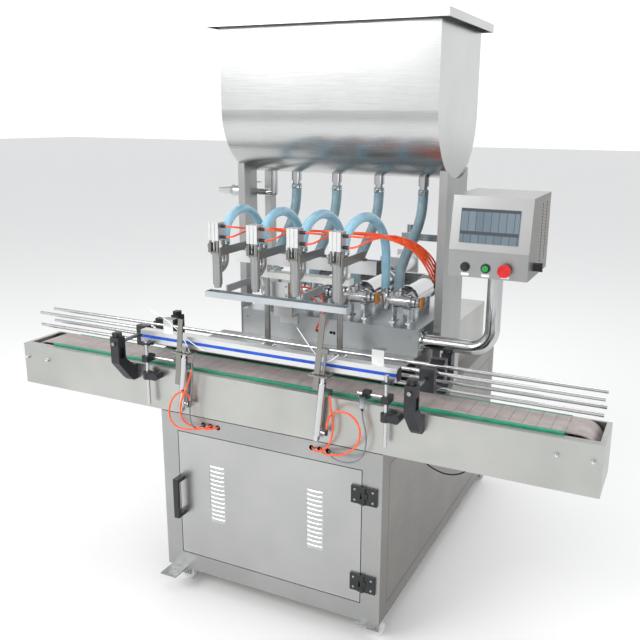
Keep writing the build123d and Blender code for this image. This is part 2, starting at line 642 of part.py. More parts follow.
# ---- metering units -----------------------------------------------------------------------------
def valve_body(cx):
    body = round_bar((cx - 30, VALVE_Y, VALVE_Z), (cx + 26, VALVE_Y, VALVE_Z), 23)
    body += round_bar((cx - 12, VALVE_Y, VALVE_Z), (cx - 12, VALVE_Y, VALVE_Z + 34), 18)
    body += round_bar((cx, VALVE_Y, VALVE_Z), (cx, CYLINDER_Y[0], VALVE_Z), 20)
    body += round_bar((cx - 12, VALVE_Y, VALVE_Z + 34), (cx - 12, VALVE_Y, VALVE_Z + 52), 13.7)
    body -= round_bar((cx - 26, VALVE_Y, VALVE_Z), (cx + 30, VALVE_Y, VALVE_Z), 15 + FIT)
    return body - round_bar((cx - 12, VALVE_Y, VALVE_Z + 8), (cx - 12, VALVE_Y, VALVE_Z + 60), 11)


def spindle(cx):
    """The rotary plug with its shaft, drive collar and index disc."""
    plug = round_bar((cx - 24, VALVE_Y, VALVE_Z), (cx + 25, VALVE_Y, VALVE_Z), 15)
    plug += round_bar((cx + 25, VALVE_Y, VALVE_Z), (cx + 80, VALVE_Y, VALVE_Z), 6)
    plug += round_bar((cx + 58, VALVE_Y, VALVE_Z), (cx + 66, VALVE_Y, VALVE_Z), 17)
    disc = round_bar((cx + 72, VALVE_Y, VALVE_Z), (cx + 76, VALVE_Y, VALVE_Z), 22)
    disc -= block((cx + 70, cx + 78), (VALVE_Y + 12, VALVE_Y + 30), (VALVE_Z - 5, VALVE_Z + 5))
    return plug + disc


def valve_flange(cx):
    flange = round_bar((cx + 27, VALVE_Y, VALVE_Z), (cx + 40, VALVE_Y, VALVE_Z), 29)
    flange += round_bar((cx + 40, VALVE_Y, VALVE_Z), (cx + 52, VALVE_Y, VALVE_Z), 20)
    flange += block((cx + 29, cx + 38), (VALVE_Y - 38, VALVE_Y - 20), (VALVE_Z - 6, VALVE_Z + 6))
    return flange - round_bar((cx + 26, VALVE_Y, VALVE_Z), (cx + 54, VALVE_Y, VALVE_Z), 6 + FIT)


def product_elbow(cx):
    """The V-shaped sanitary fitting off the valve's left end, with its two collars and spigot."""
    knee = (cx - 46, VALVE_Y, VALVE_Z)
    corner = (cx - 56, VALVE_Y + 5, VALVE_Z - 28)
    top = (cx - 64, VALVE_Y + 10, VALVE_Z + 20)
    elbow = round_bar((cx - 30.2, VALVE_Y, VALVE_Z), knee, 13) + Pos(*knee) * Sphere(13)
    elbow += round_bar(knee, corner, 13) + Pos(*corner) * Sphere(13) + round_bar(corner, top, 13)
    elbow += round_bar((cx - 30.2, VALVE_Y, VALVE_Z), (cx - 36, VALVE_Y, VALVE_Z), 19)
    elbow += round_bar(top, (top[0], top[1], top[2] + 7), 19)
    return elbow + pipe((top[0], top[1], top[2] + 7), (top[0], top[1], top[2] + 30), 10.7, 8)


def valve_stand(cx):
    foot = block((cx + 24, cx + 42), (VALVE_Y - 24, VALVE_Y + 24), (BASE_TOP, BASE_TOP + 4))
    foot += block((cx + 31, cx + 35), (VALVE_Y - 22, VALVE_Y + 22), (BASE_TOP, VALVE_Z - 20))
    foot += block((cx - 34, cx - 16), (VALVE_Y - 22, VALVE_Y + 22), (BASE_TOP, BASE_TOP + 4))
    foot += block((cx - 27, cx - 23), (VALVE_Y - 18, VALVE_Y + 18), (BASE_TOP, VALVE_Z - 12))
    ring = round_bar((cx + 30, VALVE_Y, VALVE_Z), (cx + 36, VALVE_Y, VALVE_Z), 29)
    body = round_bar((cx - 36, VALVE_Y, VALVE_Z), (cx - 20, VALVE_Y, VALVE_Z), 23)
    return foot - ring - body


def cylinder_barrel(cx):
    y0, y1 = CYLINDER_Y
    barrel = round_bar((cx, y0, VALVE_Z), (cx, y1, VALVE_Z), CYLINDER_R)
    barrel += round_bar((cx, y0, VALVE_Z), (cx, y0 + 14, VALVE_Z), CYLINDER_R + 7)
    barrel += round_bar((cx, y1 - 14, VALVE_Z), (cx, y1, VALVE_Z), CYLINDER_R + 7)
    barrel -= round_bar((cx, y0 + 16, VALVE_Z), (cx, y1 - 12, VALVE_Z), BORE_R)
    return barrel - round_bar((cx, y1 - 20, VALVE_Z), (cx, y1 + 5, VALVE_Z), 8 + FIT)


def make_units():
    y0, y1 = CYLINDER_Y
    save("valve_bodies", *[valve_body(cx) for cx in UNIT_X])
    save("valve_spindles", *[spindle(cx) for cx in UNIT_X])
    mounts = [valve_flange(cx) for cx in UNIT_X] + [valve_stand(cx) for cx in UNIT_X]
    save("product_cylinders", *[cylinder_barrel(cx) for cx in UNIT_X])
    for cx in UNIT_X:
        for y in (y0 + 40, y1 - 50):
            cradle = block((cx - 26, cx + 26), (y, y + 10), (BASE_TOP, VALVE_Z))
            mounts.append(cradle - round_bar((cx, y - 1, VALVE_Z), (cx, y + 11, VALVE_Z), CYLINDER_R))
    save("unit_mounts", *mounts)
    parts = [block((UNIT_X[0] - 40, UNIT_X[3] + 40), (CROSSHEAD_Y, CROSSHEAD_Y + 16), (955, 1015))]
    for cx in UNIT_X:
        piston = round_bar((cx, y0 + 20, VALVE_Z), (cx, y0 + 42, VALVE_Z), BORE_R - 0.3)
        parts.append(piston + round_bar((cx, y0 + 42, VALVE_Z), (cx, CROSSHEAD_Y, VALVE_Z), 8))
    ram = round_bar((23, CROSSHEAD_Y + 16, VALVE_Z), (23, 1040, VALVE_Z), 10)
    parts.append(ram + round_bar((23, 1020, VALVE_Z), (23, 1040, VALVE_Z), 31.7))
    save("piston_carriage", *parts)
    drive = round_bar((23, 1000, VALVE_Z), (23, 1200, VALVE_Z), 40)
    for y in ((990, 1004), (1186, 1200)):
        drive += block((-25, 71), y, (VALVE_Z - 48, VALVE_Z + 48))
        drive += block((-15, 61), y, (DECK_TOP, VALVE_Z))
    drive -= round_bar((23, 1010, VALVE_Z), (23, 1180, VALVE_Z), 32)
    return drive - round_bar((23, 980, VALVE_Z), (23, 1012, VALVE_Z), 10 + FIT)


# ---- lift, filling heads and drip tray ----------------------------------------------------------
def lift_bushing(x):
    bush = pipe((x, POST_Y, DECK_TOP), (x, POST_Y, DECK_TOP + 7), 24, POST_R + FIT)
    return bush + pipe((x, POST_Y, DECK_TOP - 40), (x, POST_Y, DECK_TOP + 16), 13.9, POST_R + FIT)


def lift_cylinder():
    body = block((-165, -80), (303, 341), (985, 1045)) + block((-158, -87), (341, 347), (914, 1045))
    body += block((-158, -87), (347, 390), (914, 920)) + block((-158, -87), (384, 390), (880, 920))
    return body - round_bar((-122, 322, 975), (-122, 322, 1050), 6 + FIT)


def make_lift(drive):
    posts = [round_bar((x, POST_Y, 665), (x, POST_Y, 1066), POST_R) for x in POST_X]
    beam = block((-185, 166), (260, 298), (1066, 1086))
    for x in (-150, 131):
        beam += block((x - 14, x + 14), (262, 296), (1086, 1114))
    ram = round_bar((-122, 322, 960), (-122, 322, 1092), 6)
    ram += block((-132, -112), (270, 332), (1086, 1092))
    save("lift_frame", *posts, beam, ram)
    save("drive_cylinders", drive, lift_cylinder(), *[lift_bushing(x) for x in POST_X])
    profile = block((-245, 262), (243, 283), (1114, 1156))
    profile -= block((-250, 270), (258, 268), (1151, 1160))
    save("head_profile", profile + block((262, 266), (243, 283), (1114, 1156)))


def filling_tube(x):
    tube = round_bar((x, HEAD_Y, TIP_Z + 10), (x, HEAD_Y, 1164), 15)
    tube += round_bar((x, HEAD_Y, TIP_Z), (x, HEAD_Y, TIP_Z + 10), 12)
    tube += round_bar((x, HEAD_Y, 1164), (x, HEAD_Y, 1169), 20)
    tube += hose("head elbow", [(x, HEAD_Y, 1106), (x, HEAD_Y + 46, 1122), (x, HEAD_Y + 48, 1186)], 12)
    tube += pipe((x, HEAD_Y + 48, 1186), (x, HEAD_Y + 48, 1206), 10.7, 8)
    tube -= round_bar((x, HEAD_Y, TIP_Z - 1), (x, HEAD_Y, 1160), 9)
    return tube - round_bar((x, HEAD_Y, 1150), (x, HEAD_Y, 1170), 4 + FIT)


def head_bracket(x):
    """Base plate, tie pillars, pivot ear and the flat arm back to the profile."""
    plate = round_bar((x, HEAD_Y, 1169), (x, HEAD_Y, 1174), 21)
    plate += block((x - 25, x + 21), (HEAD_Y - 12, HEAD_Y + 12), (1169, 1174))
    plate += block((x - 25, x - 21), (HEAD_Y - 12, HEAD_Y + 12), (1169, 1198))
    plate += round_bar((x - 31, HEAD_Y, 1188), (x - 25, HEAD_Y, 1188), 6)
    for dx in (-14, 14):
        for dy in (-14, 14):
            plate += block((x + dx - 3, x + dx + 3), (HEAD_Y + dy - 3, HEAD_Y + dy + 3), (1174, 1209))
    plate += block((x + 21, x + 25), (HEAD_Y - 18, 250), (1162, 1188))
    plate += block((x + 8, x + 25), (238, 264), (1156, 1162))
    return plate - round_bar((x, HEAD_Y, 1160), (x, HEAD_Y, 1215), 4 + FIT)


def head_cylinder(x):
    """Square air cylinder with its sensor grooves and two push-in fittings on the right."""
    body = block((x - 19, x + 19), (HEAD_Y - 19, HEAD_Y + 19), (1209, 1266))
    for x_slot in (x - 7, x + 7):
        body -= block((x_slot - 1.5, x_slot + 1.5), (HEAD_Y - 20, HEAD_Y - 17.5), (1208, 1267))
    body -= round_bar((x, HEAD_Y, 1215), (x, HEAD_Y, 1262), 12.3)
    body -= round_bar((x, HEAD_Y, 1205), (x, HEAD_Y, 1220), 4 + FIT)
    for z in FITTING_Z:
        body += round_bar((x + 19, HEAD_Y, z), (x + 35, HEAD_Y, z), 5.5)
    return body


def plunger(x):
    """The shut-off rod: a conical tip below, an air piston above."""
    rod = round_bar((x, HEAD_Y, TIP_Z + 4), (x, HEAD_Y, 1236), 4)
    rod += round_bar((x, HEAD_Y, TIP_Z + 1), (x, HEAD_Y, TIP_Z + 8), 8.6)
    return rod + round_bar((x, HEAD_Y, 1218), (x, HEAD_Y, 1236), 12)


def make_heads():
    save("filling_tubes", *[filling_tube(x) for x in HEAD_X])
    save("head_brackets", *[head_bracket(x) for x in HEAD_X])
    save("head_cylinders", *[head_cylinder(x) for x in HEAD_X])
    save("head_plungers", *[plunger(x) for x in HEAD_X])


def make_tray():
    outer = block((-262, 240), (82, 116), (1024, 1043))
    tray = outer - block((-260, 238), (84, 114), (1026, 1050))
    for x in (-200, 75):
        tray += block((x - 2.5, x + 2.5), (116, 255), (1038, 1062))
    save("drip_tray", tray)


# ---- control box --------------------------------------------------------------------------------
def box_outline(inset):
    y0, y1 = BOX_Y
    z0, z1 = BOX_Z
    k = inset
    return [(y0 + k, z0 + k), (y0 + k, 1210), (y0 + 27 + k, z1 - k), (y1 - k, z1 - k), (y1 - k, z0 + k)]


def box_solid(inset):
    plane = Plane(origin=(BOX_X[0] + inset, 0, 0), x_dir=(0, 1, 0), z_dir=(1, 0, 0))
    face = make_face(Polyline(*box_outline(inset), close=True))
    return extrude(plane * face, BOX_X[1] - BOX_X[0] - 2 * inset)


BUTTON_Z = 1160.0
BUTTON_X = (534.0, 596.0, 655.0)
SWITCH = (720.0, 377.0, 1160.0)


def make_control_box():
    shell = box_solid(0) - box_solid(BOX_WALL)
    for x in BUTTON_X:
        shell -= round_bar((x, 280, BUTTON_Z), (x, 290, BUTTON_Z), 11)
    shell -= round_bar((715, SWITCH[1], SWITCH[2]), (725, SWITCH[1], SWITCH[2]), 9)
    for y in (440, 500):
        for row in range(19):
            z = 1166 + 9.6 * row
            shell -= block((716, 722), (y, y + 12), (z, z + 4.5))
    table = round_bar((ARM_X, ARM_Y, 1122), (ARM_X, ARM_Y, 1130), 34)
    lean = math.degrees(math.atan2(27, BOX_Z[1] - 1210))
    panel = Plane(origin=(597.5, BOX_Y[0] + 27 * 72 / (BOX_Z[1] - 1210), 1282), x_dir=(1, 0, 0),
                  z_dir=(0, -math.cos(math.radians(lean)), math.sin(math.radians(lean))))
    bezel = extrude(panel * Rectangle(174, 101), 4.5)
    save("touch_screen", bezel)
    bezels = []
    for x in BUTTON_X:
        ring = pipe((x, BOX_Y[0] - 5, BUTTON_Z), (x, BOX_Y[0], BUTTON_Z), 14, 9.6)
        sleeve = pipe((x, BOX_Y[0], BUTTON_Z), (x, BOX_Y[0] + 24, BUTTON_Z), 10.8, 9.6)
        bezels.append(ring + sleeve)
    save("control_box", shell + table, *bezels)
    for name, x in (("stop_button", BUTTON_X[0]), ("start_button", BUTTON_X[1])):
        save(name, round_bar((x, BOX_Y[0] - 9, BUTTON_Z), (x, BOX_Y[0] + 12, BUTTON_Z), 9.3))
    x = BUTTON_X[2]
    mushroom = round_bar((x, BOX_Y[0] - 24, BUTTON_Z), (x, BOX_Y[0] - 12, BUTTON_Z), 19)
    mushroom += round_bar((x, BOX_Y[0] - 12, BUTTON_Z), (x, BOX_Y[0] + 12, BUTTON_Z), 9.3)
    save("emergency_stop", mushroom)
    knob = round_bar((720.4, SWITCH[1], SWITCH[2]), (736, SWITCH[1], SWITCH[2]), 13)
    knob += round_bar((712, SWITCH[1], SWITCH[2]), (720.4, SWITCH[1], SWITCH[2]), 8.9)
    knob += block((736, 744), (SWITCH[1] - 4, SWITCH[1] + 4), (SWITCH[2] - 13, SWITCH[2] + 13))
    save("selector_switch", knob)


def make_arm():
    """The polished pipe from the valve base out to the control box, with its two flanges."""
    bend = 70.0
    path = FilletPolyline((362, ARM_Y, ARM_Z), (ARM_X, ARM_Y, ARM_Z), (ARM_X, ARM_Y, 1121.6),
                          radius=bend)
    start = Plane(origin=path @ 0, z_dir=path % 0)
    arm = sweep(start * (Circle(ARM_R) - Circle(ARM_R - 2)), path)
    flange = round_bar((358, ARM_Y, ARM_Z), (364, ARM_Y, ARM_Z), 40)
    for k in range(4):
        a = math.radians(45 + 90 * k)
        head = (ARM_Y + 32 * math.cos(a), ARM_Z + 32 * math.sin(a))
        flange += round_bar((364, *head), (369, *head), 5)
    collar = pipe((ARM_X, ARM_Y, 1110), (ARM_X, ARM_Y, 1121.6), 34, ARM_R - 2)
    save("control_arm", arm + flange + collar)


# ---- hoses held at both ends --------------------------------------------------------------------
def feed_route(cx):
    """From an outlet stub down to the valve's feed port, leaning forwards and to the left."""
    return [(cx + 28, HOPPER_Y, 1352), (cx + 28, HOPPER_Y, 1292), (cx + 20, 564, 1232),
            (cx + 5, 540, 1174), (cx - 7, 506, 1122), (cx - 12, VALVE_Y, 1075),
            (cx - 12, VALVE_Y, VALVE_Z + 34.4)]


def nozzle_route(x, cx):
    """From a head's elbow up, over in an arch, and down to the V-shaped fitting."""
    side = cx - 64 - x
    steps = [(0.0, 147, 1188), (0.0, 147, 1222), (0.08, 172, 1258), (0.25, 222, 1279),
             (0.45, 284, 1288), (0.62, 346, 1280), (0.78, 408, 1254), (0.9, 456, 1212),
             (0.98, 482, 1160), (1.0, 485, 1105), (1.0, 484, 1060), (1.0, 484, 1012.4)]
    return [(x + side * s, y, z) for s, y, z in steps]


MANIFOLD_X = (362.0, 384.0)
MANIFOLD_Y = (520.0, 560.0)


def air_route(head, port):
    """A head's air tube: out of its fitting, back under the arches, along, and to the manifold."""
    x = HEAD_X[head] + 35.2
    z = FITTING_Z[port]
    lane = 2 * head + port
    y = 206 + 9 * lane
    points = [(x, HEAD_Y, z), (x + 22, HEAD_Y, z), (x + 38, 148, 1236 + 9 * port)]
    goal = (290.0, 300.0 + 9 * lane, 1222.0)
    span = goal[0] - (x + 60)
    count = max(1, round(span / 72))
    for k in range(count):
        t = k / count
        rise = 5 * math.sin(math.pi * t)
        points.append((x + 60 + span * t, y + (goal[1] - y) * t * t, 1238 + rise - 10 * t * t))
    end = (MANIFOLD_X[0] + 6 + 10 * port, MANIFOLD_Y[0] - 0.4, 1046.0 + 18 * head)
    drop = goal[2] - end[2]
    points += [goal, (336, 388 + 6 * lane, goal[2] - 0.25 * drop),
               (end[0] - 8, 462 + 3 * lane, goal[2] - 0.68 * drop),
               (end[0], end[1] - 16, end[2]), end]
    return points


def make_hoses():
    feeds = [hose(f"feed hose {i}", feed_route(cx), 18, 14) for i, cx in enumerate(UNIT_X, 1)]
    save("feed_hoses", *feeds)
    arches = []
    for i, (x, cx) in enumerate(zip(HEAD_X, UNIT_X), 1):
        arches.append(hose(f"nozzle hose {i}", nozzle_route(x, cx), 15, 11))
    save("nozzle_hoses", *arches)
    tubes = []
    for head in range(4):
        for port in range(2):
            tubes.append(hose(f"head air tube {head + 1}.{port + 1}", air_route(head, port), LINE_R))
    save("head_air_tubes", *tubes)


def make_air_unit():
    """The solenoid manifold behind the right post, and the filter bowl on its bracket."""
    manifold = block(MANIFOLD_X, MANIFOLD_Y, (1030, 1116)) + block((384, 409), (530, 550), (1040, 1106))
    bowl = round_bar((230, 640, 1110), (230, 640, 1160), 22)
    bowl += block((206, 254), (616, 664), (1160, 1196)) + round_bar((230, 640, 1196), (230, 640, 1224), 13)
    bowl += block((254, 384.6), (652, 664), (1166, 1190))
    save("air_unit", manifold, bowl)


def main():
    os.makedirs("parts", exist_ok=True)
    make_cabinet()
    make_hinges()
    make_casters()
    make_conveyor()
    make_rails()
    make_carrier()
    make_stops()
    make_lines()
    make_housings()
    make_hopper([product_elbow(cx) for cx in UNIT_X])
    make_stand()
    make_drain_lever()
    make_lift(make_units())
    make_heads()
    make_tray()
    make_control_box()
    make_arm()
    make_hoses()
    make_air_unit()


main()
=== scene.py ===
# %% [markdown]
# # A piston liquid filler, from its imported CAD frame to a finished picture
# The machine fills bottles on a conveyor. The CAD frame gives every rigid part its real shape.
# This lesson adds the hoses, lines, fittings and surface finishes, and sets up a studio view.

# %% Load the frame
import math
import bpy
import numpy as np
from mathutils import Matrix, Vector


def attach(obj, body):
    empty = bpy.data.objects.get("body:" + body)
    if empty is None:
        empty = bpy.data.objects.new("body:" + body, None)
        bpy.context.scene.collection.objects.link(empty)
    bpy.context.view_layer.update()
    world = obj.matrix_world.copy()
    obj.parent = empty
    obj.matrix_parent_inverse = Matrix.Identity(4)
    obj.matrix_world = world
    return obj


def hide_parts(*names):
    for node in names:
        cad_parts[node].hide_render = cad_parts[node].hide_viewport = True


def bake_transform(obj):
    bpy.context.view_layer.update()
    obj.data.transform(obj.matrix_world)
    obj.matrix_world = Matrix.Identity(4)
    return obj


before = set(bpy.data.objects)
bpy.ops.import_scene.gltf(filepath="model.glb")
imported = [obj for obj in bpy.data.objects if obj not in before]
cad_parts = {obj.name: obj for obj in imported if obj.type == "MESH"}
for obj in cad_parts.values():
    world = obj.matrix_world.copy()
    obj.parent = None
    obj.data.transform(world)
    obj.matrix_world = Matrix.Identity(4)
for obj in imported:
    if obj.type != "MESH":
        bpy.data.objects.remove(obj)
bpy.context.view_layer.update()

BACK_SHIFT = 607.5

# %% [markdown]
# ## Working units
# The machine was designed in millimetres, with Y = 0 on the conveyor's front face.
# `mm` turns those numbers into metres in the frame.

# %% Units
def mm(points):
    """Designer's millimetres to metres in the frame: subtract the shift along Y, divide by 1000."""
    p = np.atleast_2d(np.asarray(points, float)).copy()
    p[:, 1] -= BACK_SHIFT
    return p / 1000.0


def at(x, y, z):
    """One point, in metres."""
    return tuple(mm((x, y, z))[0])


# %% [markdown]
# ## Camera
# A medium lens, a little right of the machine and above the heads, looking slightly down.

# %% Camera
def aim_camera(location, yaw, pitch, roll, focal, shift):
    """Camera axes from three angles in degrees; focal is the lens in mm on a 36 mm sensor."""
    a, e, r = map(math.radians, (yaw, pitch, roll))
    forward = Vector((-math.sin(a) * math.cos(e), math.cos(a) * math.cos(e), -math.sin(e)))
    side = Vector((math.cos(a), math.sin(a), 0))
    up = side.cross(forward)
    x_axis = side * math.cos(r) + up * math.sin(r)
    y_axis = up * math.cos(r) - side * math.sin(r)
    data = bpy.data.cameras.new("studio_camera")
    data.lens = focal
    data.sensor_width = 36
    data.shift_x, data.shift_y = shift
    camera = bpy.data.objects.new("studio_camera", data)
    m = Matrix((x_axis, y_axis, -forward)).transposed().to_4x4()
    m.translation = location
    camera.matrix_world = m
    bpy.context.scene.collection.objects.link(camera)
    bpy.context.scene.camera = camera
    return camera


camera = aim_camera(at(1151.0, -1906.2, 1590.9), 25.33, 14.57, 0.52, 43.05, (-0.0269, -0.0078))
print("camera at", [round(v, 3) for v in camera.location])

# %% [markdown]
# ## Materials
# Each finish is a small node tree. Patterns use object coordinates, so their scale is in metres.

# %% Material tools
def srgb(code):
    """Hex colour to linear RGBA."""
    c = np.array([int(code[i:i + 2], 16) / 255 for i in (1, 3, 5)])
    linear = np.where(c <= 0.04045, c / 12.92, ((c + 0.055) / 1.055) ** 2.4)
    return (*linear.tolist(), 1.0)


def node(tree, kind, **values):
    """Adds a node; keywords that name an input set it, the others set properties."""
    n = tree.nodes.new(kind)
    for key, value in values.items():
        name = key.replace("_", " ").title()
        if name in n.inputs:
            n.inputs[name].default_value = value
        else:
            setattr(n, key, value)
    return n


def base_material(name, color, rough, metal=0.0):
    """A principled material, and its tree and shader."""
    m = bpy.data.materials.new(name)
    m.use_nodes = True
    shader = m.node_tree.nodes["Principled BSDF"]
    shader.inputs["Base Color"].default_value = srgb(color)
    shader.inputs["Roughness"].default_value = rough
    shader.inputs["Metallic"].default_value = metal
    return m, m.node_tree, shader


def stretched_noise(tree, period_mm, detail=3.0):
    """Noise whose grain has its own period, in mm, along each axis."""
    coords = node(tree, "ShaderNodeTexCoord")
    mapping = node(tree, "ShaderNodeMapping")
    mapping.inputs["Scale"].default_value = [1000.0 / p for p in period_mm]
    noise = node(tree, "ShaderNodeTexNoise", scale=1.0, detail=detail)
    tree.links.new(coords.outputs["Object"], mapping.inputs["Vector"])
    tree.links.new(mapping.outputs["Vector"], noise.inputs["Vector"])
    return noise.outputs["Fac"]


def ranged(tree, value, low, high, a=0.3, b=0.7):
    """Maps a pattern from a..b onto low..high."""
    n = node(tree, "ShaderNodeMapRange")
    tree.links.new(value, n.inputs["Value"])
    n.inputs["From Min"].default_value = a
    n.inputs["From Max"].default_value = b
    n.inputs["To Min"].default_value = low
    n.inputs["To Max"].default_value = high
    return n.outputs["Result"]


def tinted(tree, shader, pattern, dark, light):
    """Drives the base colour between two colours by a pattern."""
    mix = node(tree, "ShaderNodeMix", data_type="RGBA")
    mix.inputs[6].default_value = srgb(dark)
    mix.inputs[7].default_value = srgb(light)
    tree.links.new(pattern, mix.inputs[0])
    tree.links.new(mix.outputs[2], shader.inputs["Base Color"])


def bumped(tree, shader, pattern, depth_mm, strength=0.5):
    """Fine relief from a pattern."""
    bump = node(tree, "ShaderNodeBump")
    bump.inputs["Strength"].default_value = strength
    bump.inputs["Distance"].default_value = depth_mm / 1000
    tree.links.new(pattern, bump.inputs["Height"])
    tree.links.new(bump.outputs["Normal"], shader.inputs["Normal"])


def brushed(name, dark, light, grain_mm, rough=0.34, depth=0.03):
    """Brushed stainless: long thin scratches, soft smudges, roughness that follows the scratches."""
    m, tree, shader = base_material(name, light, rough, 1.0)
    grain = stretched_noise(tree, grain_mm)
    smudge = stretched_noise(tree, (180, 180, 180), 2.0)
    tree.links.new(ranged(tree, grain, rough - 0.05, rough + 0.07), shader.inputs["Roughness"])
    tinted(tree, shader, ranged(tree, smudge, 0.28, 0.72), dark, light)
    bumped(tree, shader, grain, depth, 0.35)
    return m


def polished(name, color, rough=0.12):
    """Turned or polished metal with smudges in its roughness."""
    m, tree, shader = base_material(name, color, rough, 1.0)
    smudge = stretched_noise(tree, (25, 25, 25), 4.0)
    tree.links.new(ranged(tree, smudge, rough * 0.6, rough * 1.8), shader.inputs["Roughness"])
    return m


def plastic(name, color, light, rough, depth=0.05, grain=1.2):
    """Moulded plastic: a fine texture, slight colour change and uneven sheen."""
    m, tree, shader = base_material(name, color, rough)
    fine = stretched_noise(tree, (grain, grain, grain), 2.0)
    patch = stretched_noise(tree, (30, 30, 30), 3.0)
    tinted(tree, shader, ranged(tree, patch, 0.0, 1.0), color, light)
    tree.links.new(ranged(tree, patch, rough - 0.06, rough + 0.08), shader.inputs["Roughness"])
    bumped(tree, shader, fine, depth, 0.3)
    return m


# %% [markdown]
# ## Finishes
# Most of the machine is stainless steel: brushed sheet, turned fittings and polished tube. Each kind
# gets its own grain direction and roughness, because that is how the eye tells them apart.

# %% Finishes
MAT = {
    # 304 sheet, brushed along X on the cabinet and conveyor fronts
    "sheet": brushed("brushed_sheet_x", "#a5a6a3", "#bfc0bc", (90, 0.7, 0.7)),
    # cooler mill-finish sheet of the valve base and tray
    "mill": brushed("mill_finish_sheet", "#b4babe", "#cdd2d5", (60, 1.5, 60), 0.36),
    # the same sheet brushed upright
    "sheet_z": brushed("brushed_sheet_z", "#989998", "#acadac", (0.7, 0.7, 90)),
    # the door's slightly brighter sheet
    "door": brushed("brushed_door_sheet", "#a6a7a6", "#b8b9b8", (0.7, 0.7, 90)),
    # the same sheet brushed front to back, painted darker as shade for side faces and sheets under other
    # parts
    "side": brushed("brushed_sheet_y_painted_shade", "#7f7d7a", "#94928e", (0.7, 90, 0.7), 0.38),
    # the hopper's brighter finish
    "hopper": brushed("hopper_sheet", "#b4b5b5", "#c5c6c6", (120, 0.6, 0.6), 0.24),
    # machined and polished stainless fittings
    "polished": polished("polished_stainless", "#c2c3c4"),
    # duller turned stainless
    "satin": polished("satin_stainless", "#9b9c9d", 0.26),
    # flame-cut and brushed bracket steel
    "bracket": brushed("bracket_steel", "#7c7b79", "#96958f", (0.8, 60, 0.8), 0.34),
    # anodised aluminium profile
    "aluminium": brushed("anodised_aluminium", "#cfd0d0", "#dedfdf", (150, 1.5, 1.5), 0.42, 0.01),
    # white lacquered lift beam
    "beam": plastic("white_anodised_beam", "#dcdcd8", "#e9e9e6", 0.4, 0.02),
    # nylon and glass-filled brackets
    "black": plastic("black_nylon", "#15161a", "#25272b", 0.42),
    # black coated hinges and handle
    "black_metal": plastic("black_powder_coat", "#101113", "#1d1f21", 0.35, 0.08, 0.8),
    # acetal chain slats
    "chain": plastic("acetal_slats", "#9d9390", "#b5aaa6", 0.5, 0.04, 2.0),
    # slippery green edge strip
    "green": plastic("green_wear_strip", "#12805f", "#1f9c78", 0.38),
    # blue slot cover
    "blue": plastic("blue_slot_cover", "#0f49b4", "#1b62d6", 0.3, 0.02),
    # orange polyurethane air tube
    "orange": plastic("orange_air_tube", "#f0481c", "#ff6a33", 0.25, 0.01),
    # grey sensor cable
    "cable": plastic("grey_cable_sheath", "#5f676c", "#79828a", 0.45),
    # black cable
    "black_cable": plastic("black_cable_sheath", "#0d0e10", "#1c1d20", 0.5),
    # sensor body
    "grey": plastic("grey_housing", "#a8adb0", "#c2c6c8", 0.4),
    # caster tread
    "nylon": plastic("white_nylon_wheel", "#b9bab8", "#d2d3d1", 0.5),
    # pad printing white
    "white": plastic("white_plastic", "#e6e7e8", "#f4f4f4", 0.35, 0.01),
    # yellow index disc
    "amber": plastic("amber_disc", "#c77a14", "#e09a2b", 0.3, 0.02),
    # push buttons
    "red": plastic("red_button_cap", "#b80f14", "#d8201f", 0.28, 0.01),
    "green_button": plastic("green_button_cap", "#12873c", "#1ea650", 0.28, 0.01),
    # motor paint
    "motor": plastic("motor_paint", "#4c5358", "#5d656b", 0.45, 0.15, 1.5),
}


def glassy(name, color, light, rough, through):
    """A plasticised PVC hose: part of the light goes through, the rest is tinted and glossy."""
    m, tree, shader = base_material(name, color, rough)
    shader.inputs["Transmission Weight"].default_value = through
    shader.inputs["IOR"].default_value = 1.45
    shader.inputs["Subsurface Weight"].default_value = 0.15
    shader.inputs["Subsurface Radius"].default_value = (0.01, 0.012, 0.014)
    patch = stretched_noise(tree, (40, 40, 40), 1.0)
    tinted(tree, shader, ranged(tree, patch, 0.0, 1.0), color, light)
    return m


MAT["clear_hose"] = glassy("clear_pvc_hose", "#9bd2e8", "#b3def0", 0.14, 0.3)
MAT["ribbed_hose"] = glassy("steel_wire_hose", "#7f9ba6", "#90aab4", 0.22, 0.12)
MAT["bowl"] = glassy("clear_bowl", "#dfe8ec", "#e6eef2", 0.08, 0.8)


def screen_material():
    """A dark panel behind glass: a faint lit page with a dim grid of fields."""
    m, tree, shader = base_material("touch_panel", "#10161c", 0.1)
    coords = node(tree, "ShaderNodeTexCoord")
    brick = node(tree, "ShaderNodeTexBrick", scale=22.0)
    brick.inputs["Color1"].default_value = srgb("#51606c")
    brick.inputs["Color2"].default_value = srgb("#64747f")
    brick.inputs["Mortar"].default_value = srgb("#2c363e")
    tree.links.new(coords.outputs["Object"], brick.inputs["Vector"])
    tree.links.new(brick.outputs["Color"], shader.inputs["Base Color"])
    shader.inputs["Coat Weight"].default_value = 0.6
    return m


MAT["screen"] = screen_material()
print("materials", len(MAT))

# %% [markdown]
# ## Paint the CAD nodes
# A node that holds several pieces gets several slots, and each face takes the slot of the
# piece it belongs to, found from where its centre is.

# %% Paint
def face_centres(obj):
    """Centres of a mesh's faces, in the designer's millimetres."""
    c = np.zeros(len(obj.data.polygons) * 3)
    obj.data.polygons.foreach_get("center", c)
    c = c.reshape(-1, 3) * 1000.0
    c[:, 1] += BACK_SHIFT
    return c


def paint(name, default, *rules):
    """Slots on a node: the default, then one per (material, test) rule, where later rules win."""
    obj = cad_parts[name]
    obj.data.materials.clear()
    obj.data.materials.append(MAT[default])
    index = np.zeros(len(obj.data.polygons), np.int32)
    x, y, z = face_centres(obj).T
    for k, (material, test) in enumerate(rules, 1):
        obj.data.materials.append(MAT[material])
        index[test(x, y, z)] = k
    obj.data.polygons.foreach_set("material_index", index)


